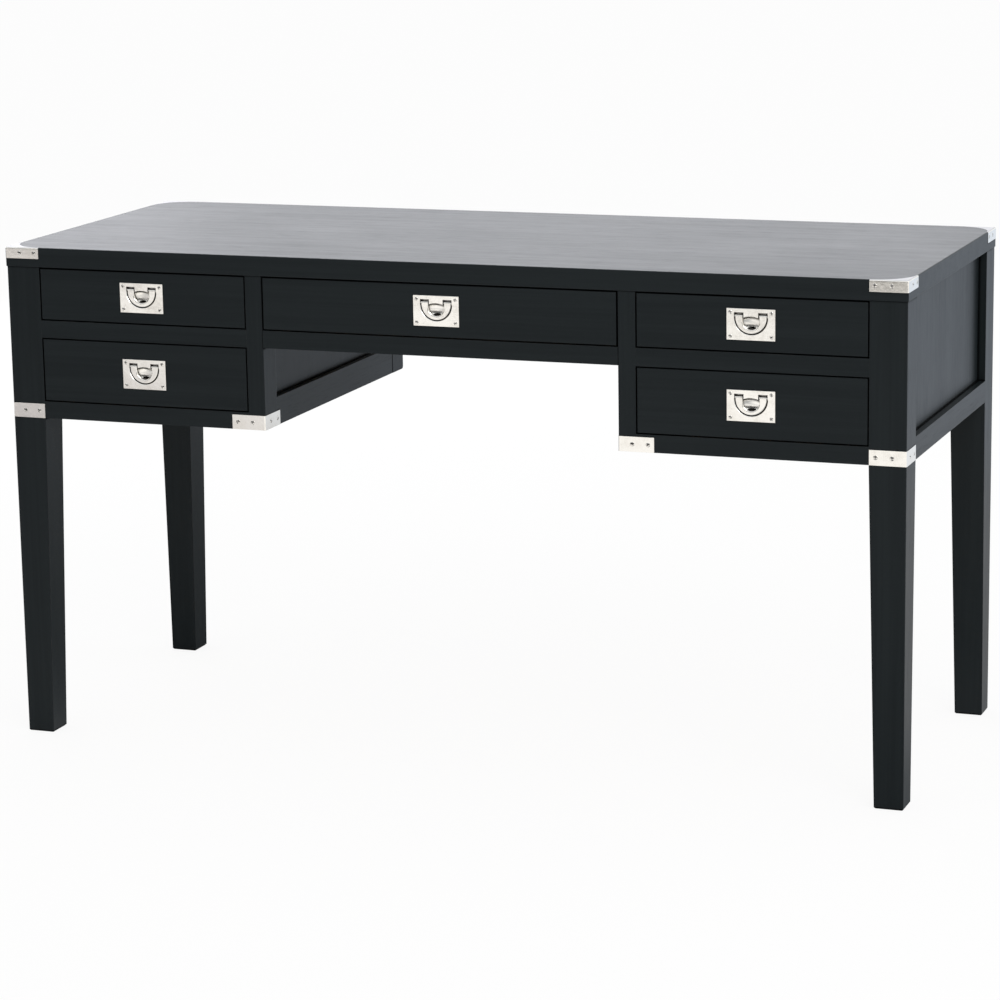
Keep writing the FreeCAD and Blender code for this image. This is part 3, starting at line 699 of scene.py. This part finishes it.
@dataclass
class Studio:
    """White floor and sky, with soft lamps, dark flags, and patches of painted shade and painted light on
    the floor that the metal mirrors.
    """

    floor_reach: float = 45.0
    floor_colour: Colour = (0.90, 0.90, 0.90)
    white: Colour = (1.0, 1.0, 1.0)
    cool_sky: Colour = (0.93, 0.965, 1.0)
    front_paper: Colour = (1.0, 1.0, 1.0)
    # Painted shade on the paper as polished things mirror it: cooler and darker far behind the desk, and
    # dark behind its left half.
    rear_shaded_paper: Colour = (0.73, 0.80, 0.90)
    right_paper: Colour = (0.97, 0.98, 1.0)
    left_shaded_paper: Colour = (0.14, 0.147, 0.153)
    shaded_paper: Colour = (0.36, 0.38, 0.40)
    shade_range: Pair = (0.7, 2.6)
    rear_range: Pair = (-0.25, 0.25)
    side_range: Pair = (-0.9, 2.1)
    far_range: Pair = (1.8, 3.2)
    paper_share: float = 0.90
    sky_level: float = 0.85
    # Painted shade to the front left and further out to the left, a dark painted patch far in front, and
    # painted light close in front of the desk.
    painted_patches: tuple[PaintedPatch, ...] = (
        PaintedPatch(place=(-2.2, -2.2, 0.0), fade=(0.3, 1.6), colour=(0.445, 0.43, 0.455)),
        PaintedPatch(place=(-3.5, -5.1, 0.0), fade=(0.3, 1.3), colour=(0.54, 0.52, 0.53)),
        PaintedPatch(place=(-0.45, -5.6, 0.0), fade=(0.55, 0.9), colour=(0.17, 0.158, 0.14)),
        PaintedPatch(place=(-0.3, -0.86, 0.0), fade=(0.4, 0.85), colour=(1.0, 1.0, 1.0)),
    )
    flags: tuple[Flag, ...] = (
        Flag("front_flag", start=(-5.0, -6.4), end=(6.0, -6.4), height=(0.0, 2.6)),
        Flag("left_flag", start=(-4.2, -4.6), end=(-4.2, -0.6), height=(0.0, 2.2)),
    )
    lamps: tuple[Lamp, ...] = (
        Lamp("window_lamp", place=(3.0, -3.6, 3.6), aim=(0.0, 0.0, 0.6), size=(3.6, 2.8), level=3.0),
        Lamp(
            "back_lamp", place=(-2.4, 3.6, 1.5), aim=(0.0, 0.0, 0.75), size=(5.2, 2.4), level=1.28,
            tint=(0.95, 0.945, 1.0),
        ),
        Lamp(
            "left_lamp", place=(-3.4, 3.0, 1.5), aim=(-0.4, 0.0, 0.75), size=(2.6, 2.4), level=0.55,
            tint=(0.95, 0.94, 1.0),
        ),
    )

    def build(self) -> None:
        """Lay the floor, light the sky and hang the flags and lamps."""
        self._lay_floor()
        self._light_sky()
        for hung in self.flags + self.lamps:
            hung.build()
            log.info("%s hung", hung.name)
        bpy.context.scene.view_settings.view_transform = "Standard"

    def _rays(self, board: Board) -> tuple[Wire, Wire]:
        """Kinds of ray.

        Args:
            board: The board that asks.

        Returns:
            One for rays from the camera, and one for mirrored or refracted rays.
        """
        path = board.node("ShaderNodeLightPath")
        camera, glossy, through = (
            Wire(board, path.outputs[f"Is {ray} Ray"]) for ray in ("Camera", "Glossy", "Transmission")
        )
        return camera, (glossy + through).rise(0.0, 1.0)

    def _lay_floor(self) -> None:
        """Lay a sheet of white paper that keeps the desk's shadow."""
        mesh = bpy.data.meshes.new("floor")
        sheet = bmesh.new()
        bmesh.ops.create_grid(sheet, x_segments=1, y_segments=1, size=self.floor_reach)
        sheet.to_mesh(mesh)
        sheet.free()
        floor = bpy.data.objects.new("floor", mesh)
        bpy.context.scene.collection.objects.link(floor)
        material, board = new_material("white_paper")
        paper = board.wire("ShaderNodeBsdfDiffuse", None, {"Color": self.floor_colour})
        camera, mirror = self._rays(board)
        tone = board.mix(camera, self._mirrored_paper(board), self.white)
        glow = board.wire("ShaderNodeEmission", None, {"Color": tone, "Strength": 1.0})
        share = camera * self.paper_share + mirror
        board.end(board.wire("ShaderNodeMixShader", None, {0: share, 1: paper, 2: glow}))
        material.cycles.emission_sampling = "NONE"
        mesh.materials.append(material)

    def _mirrored_paper(self, board: Board) -> Wire:
        """Colour of the paper as polished things mirror it.

        Args:
            board: The paper's board.

        Returns:
            White in front of the desk with its painted patches, and with painted shade close to it, behind
            its left half and, cooler, further behind it.
        """
        place = board.wire("ShaderNodeTexCoord", output="Object")
        axes = board.node("ShaderNodeSeparateXYZ", None, {"Vector": place})
        side, depth = (Wire(board, axes.outputs[axis]) for axis in "XY")
        away = board.wire("ShaderNodeVectorMath", {"operation": "LENGTH"}, {0: place}, "Value")
        front = board.mix(away.rise(*self.shade_range), self.shaded_paper, self.front_paper)
        for patch in self.painted_patches:
            front = patch.lay(board, place, front)
        # Painted shade behind the desk: dark behind its left half and light to the right, cooler and
        # darker further back.
        beside = board.mix(side.rise(*self.side_range), self.left_shaded_paper, self.right_paper)
        rear = board.mix(away.rise(*self.far_range), beside, self.rear_shaded_paper)
        return board.mix(depth.rise(*self.rear_range), front, rear)

    def _light_sky(self) -> None:
        """Make the sky white where it is seen or mirrored, and softer as a light."""
        world = bpy.data.worlds.new("white_sky")
        world.use_nodes = True
        bpy.context.scene.world = world
        board = Board(world.node_tree)
        camera, mirror = self._rays(board)
        tone = board.mix(mirror, self.white, self.cool_sky)
        level = self.sky_level + (camera + mirror) * (1.0 - self.sky_level)
        sky = board.wire("ShaderNodeBackground", None, {"Color": tone, "Strength": level})
        board.node("ShaderNodeOutputWorld", None, {"Surface": sky})
        world.cycles.sampling_method = "NONE"


@dataclass
class Viewpoint:
    """Camera at the picture's angle."""

    place: Triple = (1.78161, -4.77580, 1.46719)
    turn: float = 20.568
    level: float = 90.0
    tilt: float = 12.336
    roll: float = -0.958
    lens: float = 121.408
    sensor: float = 36.0
    reach: float = 200.0

    def build(self) -> None:
        """Set up the camera: turned to the left, tilted down from level and rolled a little."""
        lens = bpy.data.cameras.new("viewpoint")
        lens.lens = self.lens
        lens.sensor_width = self.sensor
        lens.clip_end = self.reach
        camera = bpy.data.objects.new("viewpoint", lens)
        bpy.context.scene.collection.objects.link(camera)
        aim = (
            Matrix.Rotation(math.radians(self.turn), 4, "Z")
            @ Matrix.Rotation(math.radians(self.level - self.tilt), 4, "X")
            @ Matrix.Rotation(math.radians(self.roll), 4, "Z")
        )
        camera.matrix_world = Matrix.Translation(self.place) @ aim
        bpy.context.scene.camera = camera


def main() -> None:
    """Dress the desk, set up the studio and report each piece."""
    logging.basicConfig(level=logging.INFO, format="%(message)s")
    finishes = Finishes()
    DeskTop().dress(finishes)
    for side in Side:
        Pedestal(side).dress(finishes)
    CornerFittings().dress(finishes)
    RunningGear().dress(finishes)
    for name in DRAWERS:
        Drawer(name).dress(finishes)
    Studio().build()
    Viewpoint().build()


if __name__ == "__main__":
    main()
